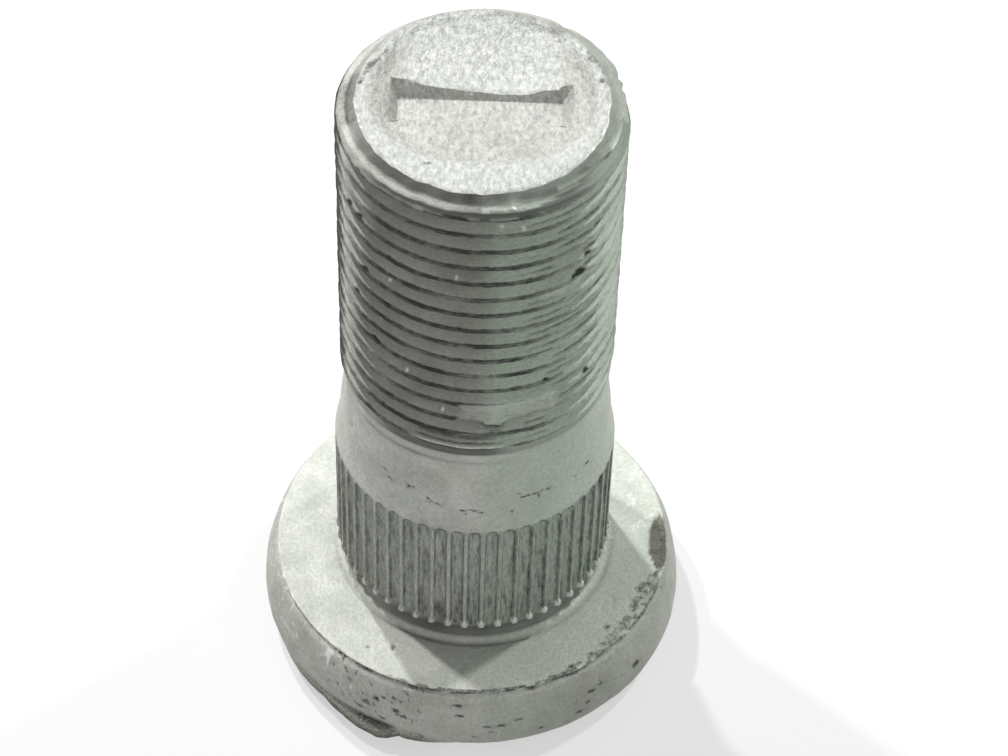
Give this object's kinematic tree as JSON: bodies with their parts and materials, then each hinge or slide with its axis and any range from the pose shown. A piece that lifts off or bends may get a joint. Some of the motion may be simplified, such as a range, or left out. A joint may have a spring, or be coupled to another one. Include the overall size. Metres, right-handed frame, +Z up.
{
  "type": "wheel stud",
  "caption": "Cold-forged wheel stud with a round bulged head, a serrated press-in shank, a fine left-hand thread and a pressed, slotted end face.",
  "frame": {"origin": "middle of the head's flat underside, on the stud's axis", "axes": "+Z up along the axis from the head to the threaded end, +X along the slot to the right, +Y to the back, away from the camera"},
  "size_m": [0.0322, 0.0322, 0.0526],
  "materials": {
    "coated_steel": "matt grey zinc-flake coat over forged and rolled steel"
  },
  "bodies": {
    "root": {"wheel_stud": "coated_steel"}
  },
  "joints": []
}
